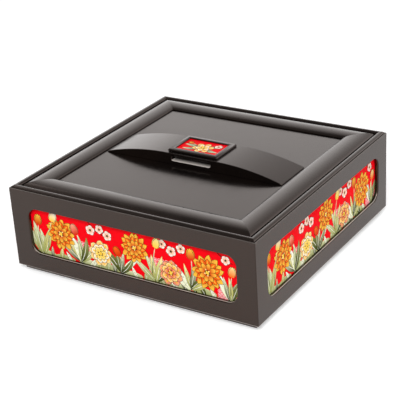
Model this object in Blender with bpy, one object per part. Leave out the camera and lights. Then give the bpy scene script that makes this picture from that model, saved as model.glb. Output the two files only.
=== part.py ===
"""Square lacquered sewing box with a lift-off lid and a lift-out tray.

The box stands on the plane z = 0 with its middle on the Z axis, front side towards -Y.
Lengths are metres. Four sides with framed pictures stand on a low plinth. The lid drops
inside a rounded rim and rests on the liner boards, and the tray rests on two runners.
"""

import math

import bmesh
import bpy
from mathutils import Matrix

# Driving sizes of the whole box
BOX_SIZE = 0.280
SIDE_HEIGHT = 0.0853
SIDE_THICKNESS = 0.009
GAP = 0.0003
OVERRUN = 0.002

# Felt pads and plinth
PAD_RADIUS = 0.006
PAD_THICKNESS = 0.001
PLINTH_INSET = 0.005
PLINTH_WIDTH = 0.016
PLINTH_HEIGHT = 0.0046

# Picture windows in the sides, and what sits behind them
WINDOW_END_MARGIN = 0.021
WINDOW_FOOT_MARGIN = 0.018
WINDOW_HEAD_MARGIN = 0.0185
WINDOW_RADIUS = 0.011
WINDOW_EDGE_ROUND = 0.0013
REVEAL_DEPTH = 0.004
RABBET_LAP = 0.006
PICTURE_THICKNESS = 0.002

# Rounded rim strip let into the top of the sides
RIM_LIP = 0.0015
RIM_RISE = 0.0019
RIM_RABBET_DEPTH = 0.0078

# Floor, linings and inner liner boards
BASE_THICKNESS = 0.005
LINING_THICKNESS = 0.0012
LINER_THICKNESS = 0.004
LID_SEAT_DEPTH = 0.0075

# Lid
LID_CLEARANCE = 0.001
MOULDING_WIDTH = 0.0242
MOULDING_RISE = 0.0036
MOULDING_LIP = 0.0005
MOULDING_SHOULDER = 0.0046
PANEL_RECESS = 0.0003
PANEL_THICKNESS = 0.0045
PANEL_TONGUE = 0.008

# Handle across the lid
HANDLE_END_CLEARANCE = 0.0023
HANDLE_DEPTH = 0.0465
HANDLE_RISE = 0.012
HANDLE_TOE = 0.0007
HANDLE_CROWN_LENGTH = 0.060
GROOVE_LENGTH = 0.046
GROOVE_HEIGHT = 0.0048
GROOVE_DEPTH = 0.009
GROOVE_SILL = 0.0043
SCREW_SPACING = 0.100
SCREW_RADIUS = 0.002
SCREW_LENGTH = 0.0105
SCREW_HEAD_RADIUS = 0.0038
SCREW_HEAD_THICKNESS = 0.002
SCREW_SLOT_WIDTH = 0.0009
SCREW_SLOT_DEPTH = 0.0008

# Picture tile on the handle
TILE_LENGTH = 0.0575
TILE_DEPTH = 0.039
TILE_HEIGHT = 0.0027
TILE_BAR = 0.0055
TILE_LIP = 0.0014
TILE_LAP = 0.0015
TILE_PICTURE_THICKNESS = 0.001

# Lift-out tray
TRAY_CLEARANCE = 0.0015
TRAY_HEADROOM = 0.0043
TRAY_HEIGHT = 0.030
TRAY_FLOOR = 0.003
TRAY_WALL = 0.004
DIVIDER_THICKNESS = 0.003
DIVIDER_DROP = 0.004
LONG_DIVIDER_SHARE = 0.14
FRONT_BAY_SHARES = (1 / 3, 2 / 3)
BACK_BAY_SHARES = (0.5,)
NOTCH_LENGTH = 0.060
NOTCH_DEPTH = 0.010
NOTCH_RADIUS = 0.006
RUNNER_WIDTH = 0.005
RUNNER_HEIGHT = 0.010
RUNNER_SET_BACK = 0.010

# Facets of round shapes
CORNER_STEPS = 6
EDGE_STEPS = 3
BEAD_STEPS = 12
MOULDING_STEPS = 18
HANDLE_STEPS = 14
ROUND_STEPS = 24

# Heights and half widths that follow from the sizes above
HALF = BOX_SIZE / 2
PLINTH_FOOT = PAD_THICKNESS + GAP
SIDE_FOOT = PLINTH_FOOT + PLINTH_HEIGHT + GAP
SIDE_TOP = SIDE_FOOT + SIDE_HEIGHT
INNER_HALF = HALF - SIDE_THICKNESS
BASE_TOP = SIDE_FOOT + BASE_THICKNESS
LINER_FOOT = BASE_TOP + GAP
LINER_TOP = SIDE_TOP - LID_SEAT_DEPTH
LINER_OUTER_HALF = INNER_HALF - GAP
LINER_INNER_HALF = LINER_OUTER_HALF - LINER_THICKNESS
LID_FOOT = LINER_TOP + GAP
LID_HALF = INNER_HALF - LID_CLEARANCE
PANEL_TOP = SIDE_TOP - PANEL_RECESS
PANEL_FOOT = PANEL_TOP - PANEL_THICKNESS
PANEL_OPENING_HALF = LID_HALF - MOULDING_WIDTH
PANEL_HALF = PANEL_OPENING_HALF + PANEL_TONGUE
HANDLE_FOOT = PANEL_TOP + GAP
HANDLE_TOP = PANEL_TOP + HANDLE_RISE
TILE_FOOT = HANDLE_TOP + GAP
TRAY_HALF = LINER_INNER_HALF - TRAY_CLEARANCE
TRAY_TOP = LID_FOOT - TRAY_HEADROOM
TRAY_FOOT = TRAY_TOP - TRAY_HEIGHT
TRAY_WALL_FOOT = TRAY_FOOT + TRAY_FLOOR + GAP
DIVIDER_FOOT = TRAY_WALL_FOOT + LINING_THICKNESS + GAP
TRAY_INNER_HALF = TRAY_HALF - TRAY_WALL
MITRE_SET_BACK = GAP / math.sqrt(2)
SIDES = ("front", "right", "back", "left")


def clear_scene():
    for item in list(bpy.data.objects):
        bpy.data.objects.remove(item, do_unlink=True)


def material(name, colour, roughness, metallic=0.0):
    made = bpy.data.materials.new(name)
    made.use_nodes = True
    shader = made.node_tree.nodes["Principled BSDF"]
    shader.inputs["Base Color"].default_value = (*colour, 1.0)
    shader.inputs["Roughness"].default_value = roughness
    shader.inputs["Metallic"].default_value = metallic
    made.diffuse_color = (*colour, 1.0)
    return made


def empty(name, height):
    """A guide on the Z axis that the pieces of one moving group hang from."""
    made = bpy.data.objects.new(name, None)
    made.location.z = height
    bpy.context.collection.objects.link(made)
    return made


def place(name, mesh, skin, turn=0, parent=None, location=(0, 0, 0)):
    """Link one object, turned by quarter turns about the box's middle."""
    made = bpy.data.objects.new(name, mesh)
    bpy.context.collection.objects.link(made)
    made.location = location
    made.rotation_euler.z = turn * math.pi / 2
    if parent is not None:
        made.parent = parent
        made.matrix_parent_inverse = Matrix.Translation((0, 0, -parent.location.z))
    if skin is not None:
        mesh.materials.clear()
        mesh.materials.append(skin)
    return made


def cutter(name, mesh, target, location=(0, 0, 0)):
    """Hang a hidden cutter on its target and take it out of the target's solid."""
    tool = place(name, mesh, None, location=location)
    tool.parent = target
    tool.hide_render = True
    tool.display_type = "WIRE"
    cut = target.modifiers.new(name, "BOOLEAN")
    cut.operation = "DIFFERENCE"
    cut.solver = "EXACT"
    cut.object = tool
    return tool


def loft(name, loops, closed_ring=False):
    """Join loops of equal point counts into one closed skin, end caps included."""
    bm = bmesh.new()
    rings = []
    for loop in loops:
        rings.append([bm.verts.new(point) for point in loop])
    pairs = list(zip(rings, rings[1:]))
    if closed_ring:
        pairs.append((rings[-1], rings[0]))
    for first, second in pairs:
        for index in range(len(first)):
            bm.faces.new((first[index - 1], first[index], second[index], second[index - 1]))
    if not closed_ring:
        bm.faces.new(rings[0])
        bm.faces.new(rings[-1])
    bmesh.ops.recalc_face_normals(bm, faces=bm.faces)
    mesh = bpy.data.meshes.new(name)
    bm.to_mesh(mesh)
    bm.free()
    return mesh


def smooth_round(mesh):
    mesh.shade_smooth()
    mesh.set_sharp_from_angle(angle=math.radians(35))
    return mesh


def rectangle(half_x, half_y):
    return [(-half_x, -half_y), (half_x, -half_y), (half_x, half_y), (-half_x, half_y)]


def rounded_rectangle(half_x, half_y, radius, steps=CORNER_STEPS):
    """Outline with round corners, counter-clockwise from the lower left corner."""
    points = []
    centres = ((-1, -1, math.pi), (1, -1, 1.5 * math.pi), (1, 1, 0), (-1, 1, 0.5 * math.pi))
    for sign_x, sign_y, start in centres:
        for step in range(steps + 1):
            angle = start + 0.5 * math.pi * step / steps
            points.append((
                sign_x * (half_x - radius) + radius * math.cos(angle),
                sign_y * (half_y - radius) + radius * math.sin(angle),
            ))
    return points


def slab(name, half_x, half_y, foot, top):
    """A rectangular board lying flat between two heights."""
    outline = rectangle(half_x, half_y)
    return loft(name, [[(x, y, foot) for x, y in outline], [(x, y, top) for x, y in outline]])


def disc(name, radius, foot, top):
    outline = []
    for step in range(ROUND_STEPS):
        angle = 2 * math.pi * step / ROUND_STEPS
        outline.append((radius * math.cos(angle), radius * math.sin(angle)))
    return smooth_round(loft(name, [[(x, y, foot) for x, y in outline],
                                    [(x, y, top) for x, y in outline]]))


def mitred_strip(name, section):
    """Sweep a section along the front side, both ends cut at 45 degrees.

    A section point is (distance from the Z axis, height).
    """
    ends = []
    for sign in (-1, 1):
        ends.append([(sign * (reach - MITRE_SET_BACK), -reach, height) for reach, height in section])
    return loft(name, ends)


def four_strips(name, section, skin, parent=None, smooth=False):
    """The same mitred strip on all four sides of the box."""
    mesh = mitred_strip(name, section)
    if smooth:
        smooth_round(mesh)
    made = []
    for turn, side in enumerate(SIDES):
        made.append(place(f"{name}_{side}", mesh, skin, turn, parent))
    return made


def build_pads(skin):
    reach = HALF - PLINTH_INSET - PLINTH_WIDTH / 2
    mesh = disc("foot_pad", PAD_RADIUS, 0, PAD_THICKNESS)
    for row, sign_y in (("front", -1), ("back", 1)):
        for side, sign_x in (("left", -1), ("right", 1)):
            place(f"foot_pad_{row}_{side}", mesh, skin, location=(sign_x * reach, sign_y * reach, 0))


def build_plinth(skin):
    outer = HALF - PLINTH_INSET
    inner = outer - PLINTH_WIDTH
    top = PLINTH_FOOT + PLINTH_HEIGHT
    four_strips("plinth", [(outer, PLINTH_FOOT), (outer, top), (inner, top), (inner, PLINTH_FOOT)], skin)


def window_half_length():
    return HALF - WINDOW_END_MARGIN


def window_half_height():
    return (SIDE_HEIGHT - WINDOW_FOOT_MARGIN - WINDOW_HEAD_MARGIN) / 2


def window_middle():
    return SIDE_FOOT + WINDOW_FOOT_MARGIN + window_half_height()


def upright_loop(grow, depth):
    """The window's outline, grown all round, at a depth behind the front face."""
    outline = rounded_rectangle(window_half_length() + grow, window_half_height() + grow,
                                WINDOW_RADIUS + grow)
    return [(x, depth - HALF, window_middle() + z) for x, z in outline]


def window_cutter():
    """Rounded mouth, straight reveal, and the wider rabbet that the picture sits in."""
    loops = [upright_loop(WINDOW_EDGE_ROUND, -OVERRUN)]
    for step in range(EDGE_STEPS + 1):
        angle = 0.5 * math.pi * step / EDGE_STEPS
        grow = WINDOW_EDGE_ROUND * (1 - math.sin(angle))
        loops.append(upright_loop(grow, WINDOW_EDGE_ROUND * (1 - math.cos(angle))))
    loops.append(upright_loop(0, REVEAL_DEPTH))
    loops.append(upright_loop(RABBET_LAP, REVEAL_DEPTH))
    loops.append(upright_loop(RABBET_LAP, SIDE_THICKNESS + OVERRUN))
    return loft("window_cutter", loops)


def build_sides(skin):
    """Mitred boards with a lip outside the rim rabbet and a framed window."""
    rabbet_floor = SIDE_TOP - RIM_RABBET_DEPTH
    lip_inside = HALF - RIM_LIP
    section = [(HALF, SIDE_FOOT), (HALF, SIDE_TOP), (lip_inside, SIDE_TOP), (lip_inside, rabbet_floor),
               (INNER_HALF, rabbet_floor), (INNER_HALF, SIDE_FOOT)]
    boards = four_strips("side", section, skin)
    tool = window_cutter()
    for side, board in zip(SIDES, boards):
        cutter(f"window_{side}", tool, board)


def build_pictures(picture_skin, backing_skin):
    """A picture panel in each window's rabbet and the board that backs it."""
    lap = RABBET_LAP - GAP
    picture_face = REVEAL_DEPTH + GAP
    picture_back = picture_face + PICTURE_THICKNESS
    picture = loft("picture", [upright_loop(lap, picture_face), upright_loop(lap, picture_back)])
    backing = loft("backing", [upright_loop(lap, picture_back + GAP), upright_loop(lap, SIDE_THICKNESS)])
    for turn, side in enumerate(SIDES):
        place(f"picture_{side}", picture, picture_skin, turn)
        place(f"backing_{side}", backing, backing_skin, turn)


def build_rim(skin):
    """Half-round bead standing above the sides, on a strip let into their tops."""
    outer = HALF - RIM_LIP - GAP
    radius = (outer - INNER_HALF) / 2
    middle = INNER_HALF + radius
    spring = SIDE_TOP + RIM_RISE - radius
    foot = SIDE_TOP - RIM_RABBET_DEPTH + GAP
    section = [(outer, foot)]
    for step in range(BEAD_STEPS + 1):
        angle = math.pi * step / BEAD_STEPS
        section.append((middle + radius * math.cos(angle), spring + radius * math.sin(angle)))
    section.append((INNER_HALF, foot))
    four_strips("rim", section, skin, smooth=True)


def build_floor(board_skin, felt_skin):
    base_half = INNER_HALF - GAP
    place("base_board", slab("base_board", base_half, base_half, SIDE_FOOT, BASE_TOP), board_skin)
    felt_half = LINER_INNER_HALF - GAP
    felt_foot = BASE_TOP + GAP
    felt = slab("base_lining", felt_half, felt_half, felt_foot, felt_foot + LINING_THICKNESS)
    place("base_lining", felt, felt_skin)


def build_liners(liner_skin, runner_skin):
    """Liner boards that carry the lid, and two runners on them that carry the tray."""
    section = [(LINER_OUTER_HALF, LINER_FOOT), (LINER_OUTER_HALF, LINER_TOP),
               (LINER_INNER_HALF, LINER_TOP), (LINER_INNER_HALF, LINER_FOOT)]
    four_strips("liner", section, liner_skin)
    runner_top = TRAY_FOOT - GAP
    runner_half_length = LINER_INNER_HALF - RUNNER_SET_BACK
    runner_foot = runner_top - RUNNER_HEIGHT
    runner = slab("tray_runner", RUNNER_WIDTH / 2, runner_half_length, runner_foot, runner_top)
    reach = LINER_INNER_HALF - GAP - RUNNER_WIDTH / 2
    for side, sign in (("left", -1), ("right", 1)):
        place(f"tray_runner_{side}", runner, runner_skin, location=(sign * reach, 0, 0))


def tray_divider(name, half_x, half_y, centre, skin, parent):
    mesh = slab(name, half_x, half_y, DIVIDER_FOOT, TRAY_TOP - DIVIDER_DROP)
    place(name, mesh, skin, parent=parent, location=(*centre, 0))


def build_tray(wood_skin, felt_skin):
    """Shallow tray: floor, walls with two finger notches, felt, and dividers on the felt."""
    parent = empty("tray_lift_axis", TRAY_FOOT)
    floor = slab("tray_floor", TRAY_HALF, TRAY_HALF, TRAY_FOOT, TRAY_FOOT + TRAY_FLOOR)
    place("tray_floor", floor, wood_skin, parent=parent)
    section = [(TRAY_HALF, TRAY_WALL_FOOT), (TRAY_HALF, TRAY_TOP),
               (TRAY_INNER_HALF, TRAY_TOP), (TRAY_INNER_HALF, TRAY_WALL_FOOT)]
    walls = four_strips("tray_wall", section, wood_skin, parent)
    outline = rounded_rectangle(NOTCH_LENGTH / 2, NOTCH_DEPTH, NOTCH_RADIUS)
    near = -TRAY_HALF - OVERRUN
    far = -TRAY_INNER_HALF + OVERRUN
    notch = loft("notch", [[(x, near, TRAY_TOP + z) for x, z in outline],
                           [(x, far, TRAY_TOP + z) for x, z in outline]])
    for side, wall in zip(SIDES, walls):
        if side in ("left", "right"):
            cutter(f"notch_{side}", notch, wall)
    reach = TRAY_INNER_HALF - GAP
    felt = slab("tray_lining", reach, reach, TRAY_WALL_FOOT, TRAY_WALL_FOOT + LINING_THICKNESS)
    place("tray_lining", felt, felt_skin, parent=parent)
    half_wall = DIVIDER_THICKNESS / 2
    long_y = LONG_DIVIDER_SHARE * TRAY_INNER_HALF
    tray_divider("tray_divider_long", reach, half_wall, (0, long_y), wood_skin, parent)
    bays = (("front", -reach, long_y - half_wall - GAP, FRONT_BAY_SHARES),
            ("back", long_y + half_wall + GAP, reach, BACK_BAY_SHARES))
    for bay, low, high, shares in bays:
        for number, share in enumerate(shares, start=1):
            x = -TRAY_INNER_HALF + 2 * TRAY_INNER_HALF * share
            tray_divider(f"tray_divider_{bay}_{number}", half_wall, (high - low) / 2,
                         (x, (low + high) / 2), wood_skin, parent)


def moulding_section():
    """Cushioned top over a square shoulder, with a rabbet under it for the panel."""
    outer = LID_HALF
    inner = PANEL_OPENING_HALF
    radius = MOULDING_WIDTH / 2
    middle = inner + radius
    crown = PANEL_TOP + MOULDING_RISE
    inner_spring = PANEL_TOP + GAP + MOULDING_LIP
    outer_spring = crown - MOULDING_SHOULDER
    section = [(outer, LID_FOOT)]
    for step in range(MOULDING_STEPS + 1):
        angle = math.pi * step / MOULDING_STEPS
        spring = outer_spring if math.cos(angle) > 0 else inner_spring
        section.append((middle + radius * math.cos(angle), spring + (crown - spring) * math.sin(angle)))
    rabbet_wall = PANEL_HALF + GAP
    section.append((inner, PANEL_TOP + GAP))
    section.append((rabbet_wall, PANEL_TOP + GAP))
    section.append((rabbet_wall, LID_FOOT))
    return section


def screw_hole(name, radius, foot, top, target, x):
    cutter(name, disc(name, radius, foot, top), target, location=(x, 0, 0))


def build_lid(lacquer_skin, felt_skin, parent):
    four_strips("lid_moulding", moulding_section(), lacquer_skin, parent, smooth=True)
    panel = place("lid_panel", slab("lid_panel", PANEL_HALF, PANEL_HALF, PANEL_FOOT, PANEL_TOP),
                  lacquer_skin, parent=parent)
    bore = SCREW_RADIUS + GAP
    head_seat = PANEL_FOOT + SCREW_HEAD_THICKNESS + 2 * GAP
    for side, sign in (("left", -1), ("right", 1)):
        x = sign * SCREW_SPACING / 2
        screw_hole(f"panel_bore_{side}", bore, PANEL_FOOT - OVERRUN, PANEL_TOP + OVERRUN, panel, x)
        screw_hole(f"panel_counterbore_{side}", SCREW_HEAD_RADIUS + GAP, PANEL_FOOT - OVERRUN,
                   head_seat, panel, x)
    lining = slab("lid_lining", PANEL_HALF, PANEL_HALF, LID_FOOT, PANEL_FOOT - GAP)
    place("lid_lining", lining, felt_skin, parent=parent)


def handle_outline():
    """Low bridge: level crown, then one arc down to a thin toe at each end."""
    half_crown = HANDLE_CROWN_LENGTH / 2
    half_length = PANEL_OPENING_HALF - HANDLE_END_CLEARANCE
    run = half_length - half_crown
    drop = HANDLE_TOP - HANDLE_FOOT - HANDLE_TOE
    radius = (run * run + drop * drop) / (2 * drop)
    sweep = math.asin(run / radius)
    right = []
    for step in range(HANDLE_STEPS + 1):
        angle = sweep * step / HANDLE_STEPS
        right.append((half_crown + radius * math.sin(angle), HANDLE_TOP - radius * (1 - math.cos(angle))))
    left = [(-x, z) for x, z in reversed(right)]
    return [(-half_length, HANDLE_FOOT)] + left + right + [(half_length, HANDLE_FOOT)]


def build_handle(skin, steel_skin, parent):
    outline = handle_outline()
    half_depth = HANDLE_DEPTH / 2
    mesh = smooth_round(loft("handle_arch", [[(x, -half_depth, z) for x, z in outline],
                                             [(x, half_depth, z) for x, z in outline]]))
    arch = place("handle_arch", mesh, skin, parent=parent)
    groove = rounded_rectangle(GROOVE_LENGTH / 2, GROOVE_HEIGHT / 2, GROOVE_HEIGHT / 2)
    groove_middle = PANEL_TOP + GROOVE_SILL + GROOVE_HEIGHT / 2
    for side, sign in (("front", -1), ("back", 1)):
        mouth = sign * (half_depth + OVERRUN)
        end = sign * (half_depth - GROOVE_DEPTH)
        tool = loft(f"groove_{side}", [[(x, mouth, groove_middle + z) for x, z in groove],
                                       [(x, end, groove_middle + z) for x, z in groove]])
        cutter(f"groove_{side}", tool, arch)
    head_foot = PANEL_FOOT + GAP
    head_top = head_foot + SCREW_HEAD_THICKNESS
    tip = head_top + SCREW_LENGTH
    for side, sign in (("left", -1), ("right", 1)):
        x = sign * SCREW_SPACING / 2
        screw_hole(f"handle_bore_{side}", SCREW_RADIUS + GAP, HANDLE_FOOT - OVERRUN, tip + GAP, arch, x)
        build_screw(f"handle_screw_{side}", head_foot, head_top, tip, x, steel_skin, parent)


def build_screw(name, head_foot, head_top, tip, x, skin, parent):
    """Round-headed screw with a slot, its head down and its shank in the handle."""
    loops = []
    stations = ((SCREW_HEAD_RADIUS, head_foot), (SCREW_HEAD_RADIUS, head_top),
                (SCREW_RADIUS, head_top), (SCREW_RADIUS, tip))
    for radius, height in stations:
        loop = []
        for step in range(ROUND_STEPS):
            angle = 2 * math.pi * step / ROUND_STEPS
            loop.append((radius * math.cos(angle), radius * math.sin(angle), height))
        loops.append(loop)
    screw = place(name, smooth_round(loft(name, loops)), skin, parent=parent, location=(x, 0, 0))
    slot = slab(f"{name}_slot", SCREW_HEAD_RADIUS + OVERRUN, SCREW_SLOT_WIDTH / 2,
                head_foot - OVERRUN, head_foot + SCREW_SLOT_DEPTH)
    cutter(f"{name}_slot", slot, screw)


def build_tile(frame_skin, picture_skin, parent):
    """Small framed picture standing on the crown of the handle."""
    half_x = TILE_LENGTH / 2
    half_y = TILE_DEPTH / 2
    top = TILE_FOOT + TILE_HEIGHT
    lip_foot = top - TILE_LIP
    stations = ((0, TILE_FOOT), (0, top), (TILE_BAR, top), (TILE_BAR, lip_foot),
                (TILE_BAR - TILE_LAP, lip_foot), (TILE_BAR - TILE_LAP, TILE_FOOT))
    loops = []
    for inset, height in stations:
        loops.append([(x, y, height) for x, y in rectangle(half_x - inset, half_y - inset)])
    place("tile_frame", loft("tile_frame", loops, closed_ring=True), frame_skin, parent=parent)
    lap = TILE_BAR - TILE_LAP + GAP
    face = lip_foot - GAP
    back = face - TILE_PICTURE_THICKNESS
    picture = slab("tile_picture", half_x - lap, half_y - lap, back, face)
    place("tile_picture", picture, picture_skin, parent=parent)


def build():
    clear_scene()
    lacquer = material("black_lacquer", (0.022, 0.019, 0.017), 0.32)
    red = material("red_picture", (0.62, 0.02, 0.02), 0.25)
    board = material("backing_board", (0.32, 0.22, 0.13), 0.8)
    felt = material("red_felt", (0.26, 0.015, 0.02), 0.95)
    pad = material("pad_felt", (0.03, 0.03, 0.03), 0.95)
    steel = material("screw_steel", (0.55, 0.53, 0.50), 0.35, 1.0)
    build_pads(pad)
    build_plinth(lacquer)
    build_sides(lacquer)
    build_pictures(red, board)
    build_rim(lacquer)
    build_floor(board, felt)
    build_liners(felt, lacquer)
    build_tray(lacquer, felt)
    lid_axis = empty("lid_lift_axis", LID_FOOT)
    build_lid(lacquer, felt, lid_axis)
    build_handle(lacquer, steel, lid_axis)
    build_tile(lacquer, red, lid_axis)


build()
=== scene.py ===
import math
import random

import bmesh
import bpy
from mathutils import Matrix, Quaternion, Vector


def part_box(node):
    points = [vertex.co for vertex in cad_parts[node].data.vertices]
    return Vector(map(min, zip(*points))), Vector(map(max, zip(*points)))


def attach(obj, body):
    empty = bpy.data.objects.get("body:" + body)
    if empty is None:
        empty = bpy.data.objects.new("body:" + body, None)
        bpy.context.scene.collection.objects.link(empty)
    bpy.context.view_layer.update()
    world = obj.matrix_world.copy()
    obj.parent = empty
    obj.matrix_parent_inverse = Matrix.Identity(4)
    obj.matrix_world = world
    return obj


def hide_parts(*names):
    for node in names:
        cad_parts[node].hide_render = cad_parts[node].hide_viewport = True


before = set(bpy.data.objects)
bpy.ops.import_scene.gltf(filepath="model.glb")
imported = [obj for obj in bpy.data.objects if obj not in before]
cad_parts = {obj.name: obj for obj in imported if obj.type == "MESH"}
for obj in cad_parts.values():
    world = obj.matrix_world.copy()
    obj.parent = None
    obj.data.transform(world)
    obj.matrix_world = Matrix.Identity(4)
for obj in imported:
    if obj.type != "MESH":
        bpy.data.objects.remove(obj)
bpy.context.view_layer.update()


# Camera
# A long lens looks down on the box from the right of its front, turned a little out of level.
mm = 0.001
camera_turn = math.radians(33.520)
camera_rise = math.radians(25.075)
camera_roll = math.radians(-3.706)
camera_place = Vector((0.6164, -0.9412, 0.5724))
lens_mm = 108.11
sensor_mm = 36.0

looking_back = Vector((
    math.sin(camera_turn) * math.cos(camera_rise),
    -math.cos(camera_turn) * math.cos(camera_rise),
    math.sin(camera_rise),
))


def add_object(name, data):
    """Put data into the scene as an object."""
    made = bpy.data.objects.new(name, data)
    bpy.context.collection.objects.link(made)
    return made


camera_data = bpy.data.cameras.new("camera")
camera_data.lens = lens_mm
camera_data.sensor_width = sensor_mm
camera_data.clip_start = 10 * mm
camera = add_object("camera", camera_data)
camera_spin = looking_back.to_track_quat("Z", "Y") @ Quaternion((0, 0, 1), camera_roll)
camera.matrix_world = Matrix.Translation(camera_place) @ camera_spin.to_matrix().to_4x4()
scene = bpy.context.scene
scene.camera = camera
scene.view_settings.view_transform = "Standard"


# Studio
# A white sweep: a matt floor that stays lit to the horizon, a bright surround low down that
# the lacquer mirrors, a dim ceiling, and two soft lamps, at the front right and on the left.
floor_reach = 8.0
floor_albedo = 0.80
floor_glow = 0.37
mirrored_glow = 0.12
far_light = 0.80
near_radius = 0.80
far_radius = 1.9
surround_steps = ((0.30, 2.05), (0.44, 1.46), (0.64, 0.84), (0.78, 0.24), (1.0, 0.16))
front_band = (-0.80, -0.30)
front_share = 0.10
front_lamp = ((1.0, -2.0, 2.1), 1.4, 78.0)
side_lamp = ((-2.4, 0.25, 1.9), 1.3, 7.0)
lamp_aim = Vector((0, 0, 0.05))


def shader_nodes(holder):
    """The node tree of a material or a world, emptied."""
    holder.use_nodes = True
    tree = holder.node_tree
    tree.nodes.clear()
    return tree


def feed(tree, value, socket):
    """Give an input its value: another node's output, or a plain number or colour."""
    if isinstance(value, bpy.types.NodeSocket):
        tree.links.new(value, socket)
    elif isinstance(value, tuple):
        socket.default_value = (*value[:3], 1)
    else:
        socket.default_value = value


def add_node(tree, kind, inputs=None, **settings):
    """A node with these settings, its inputs fed by their names or numbers."""
    made = tree.nodes.new(kind)
    for key, value in settings.items():
        setattr(made, key, value)
    for key, value in (inputs or {}).items():
        feed(tree, value, made.inputs[key])
    return made


def math_node(tree, operation, first, second=0.0):
    """A Math node whose two inputs are sockets or plain numbers."""
    return add_node(tree, "ShaderNodeMath", {0: first, 1: second}, operation=operation).outputs[0]


def map_range(tree, value, low, high, to_low=0.0, to_high=1.0, kind="SMOOTHSTEP"):
    """The value's way from low to high, carried over to another range."""
    inputs = {"Value": value, "From Min": low, "From Max": high, "To Min": to_low, "To Max": to_high}
    return add_node(tree, "ShaderNodeMapRange", inputs, interpolation_type=kind).outputs["Result"]


def ray_is(tree, kind):
    """1 for rays of one kind, 0 for others."""
    return add_node(tree, "ShaderNodeLightPath").outputs[f"Is {kind} Ray"]


def piece_place(tree):
    """Each point's place, measured on its own piece."""
    return add_node(tree, "ShaderNodeTexCoord").outputs["Object"]


def new_skin(name):
    """A new material and its empty node tree."""
    made = bpy.data.materials.new(name)
    return made, shader_nodes(made)


floor_mesh = bpy.data.meshes.new("floor")
bm = bmesh.new()
bmesh.ops.create_grid(bm, x_segments=2, y_segments=2, size=floor_reach)
bm.to_mesh(floor_mesh)
bm.free()
floor = add_object("floor", floor_mesh)

floor_white, tree = new_skin("floor_white")
paper = add_node(tree, "ShaderNodeBsdfDiffuse", {"Color": (floor_albedo, floor_albedo, floor_albedo)})
camera_ray = ray_is(tree, "Camera")
seen = math_node(tree, "MAXIMUM", camera_ray, ray_is(tree, "Glossy"))
seen = math_node(tree, "MAXIMUM", seen, ray_is(tree, "Transmission"))
shown = math_node(tree, "MULTIPLY", camera_ray, floor_glow - mirrored_glow)
mirrored = math_node(tree, "MULTIPLY", seen, mirrored_glow)
glow = add_node(tree, "ShaderNodeEmission", {"Strength": math_node(tree, "ADD", shown, mirrored)})
near = add_node(tree, "ShaderNodeAddShader", {0: paper.outputs[0], 1: glow.outputs[0]})
far_strength = map_range(tree, seen, 0.0, 1.0, far_light, 1.0, "LINEAR")
far = add_node(tree, "ShaderNodeEmission", {"Strength": far_strength})
distance = add_node(tree, "ShaderNodeVectorMath", {0: piece_place(tree)}, operation="LENGTH")
farness = map_range(tree, distance.outputs["Value"], near_radius, far_radius)
fade = add_node(tree, "ShaderNodeMixShader", {0: farness, 1: near.outputs[0], 2: far.outputs[0]})
add_node(tree, "ShaderNodeOutputMaterial", {"Surface": fade.outputs[0]})
floor_mesh.materials.append(floor_white)

world = bpy.data.worlds.new("studio")
scene.world = world
tree = shader_nodes(world)
direction = add_node(tree, "ShaderNodeTexCoord").outputs["Generated"]
parts = add_node(tree, "ShaderNodeSeparateXYZ", {0: direction})
by_height = surround_steps[0][1]
for (low, before), (high, after) in zip(surround_steps, surround_steps[1:]):
    change = map_range(tree, parts.outputs["Z"], low, high, 0.0, after - before, "LINEAR")
    by_height = math_node(tree, "ADD", change, by_height)
by_side = map_range(tree, parts.outputs["Y"], *front_band, front_share, 1.0)
shaded = math_node(tree, "MULTIPLY", by_height, by_side)
strength = math_node(tree, "MAXIMUM", ray_is(tree, "Camera"), shaded)
sky = add_node(tree, "ShaderNodeBackground", {"Strength": strength})
add_node(tree, "ShaderNodeOutputWorld", {"Surface": sky.outputs[0]})

for name, (place, size, power) in (("front_lamp", front_lamp), ("side_lamp", side_lamp)):
    data = bpy.data.lights.new(name, "AREA")
    data.shape = "SQUARE"
    data.size = size
    data.energy = power
    lamp = add_object(name, data)
    lamp.location = place
    lamp.rotation_euler = (Vector(place) - lamp_aim).to_track_quat("Z", "Y").to_euler()


# Lacquer
# Many thin coats of warm black lacquer, rubbed down by hand: nearly mirror smooth, with a
# faint orange peel, a few dust nibs under the last coat, and cloudy patches where it is handled.
lacquer_black = (0.0022, 0.0016, 0.0014)
lacquer_brown = (0.0046, 0.0029, 0.0021)
# Pale grey for the painted highlight on lit lips and arrises.
painted_highlight_grey = (0.46, 0.42, 0.39)
lacquer_glint = (1.0, 0.76, 0.66)
lacquer_ior = 1.66
dull_roughness = 0.8
cloud_scale = 14.0
smear_scale = 55.0
peel_size = 1.6 * mm
peel_depth = 0.004 * mm
nib_spacing = 9 * mm
nib_reach = 0.035
nib_depth = 0.01 * mm
nib_strength = 0.2


def noise(tree, vector, scale, detail=3.0, roughness=0.55):
    inputs = {"Vector": vector, "Scale": scale, "Detail": detail, "Roughness": roughness}
    return add_node(tree, "ShaderNodeTexNoise", inputs).outputs["Fac"]


def mix_colour(tree, factor, first, second, blend_type="MIX"):
    """A colour Mix node whose inputs are sockets, plain colours or plain numbers."""
    inputs = {0: factor, 6: first, 7: second}
    return add_node(tree, "ShaderNodeMix", inputs, data_type="RGBA", blend_type=blend_type).outputs[2]


def bump(tree, height, depth, strength=1.0, **normal):
    """Relief of a depth, on top of another node's Normal if that is given."""
    inputs = {"Strength": strength, "Distance": depth, "Height": height, **normal}
    return add_node(tree, "ShaderNodeBump", inputs).outputs["Normal"]


def finish_surface(tree, inputs):
    """Make a Principled shader with these inputs the material's surface."""
    shader = add_node(tree, "ShaderNodeBsdfPrincipled", inputs)
    add_node(tree, "ShaderNodeOutputMaterial", {"Surface": shader.outputs[0]})


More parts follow.
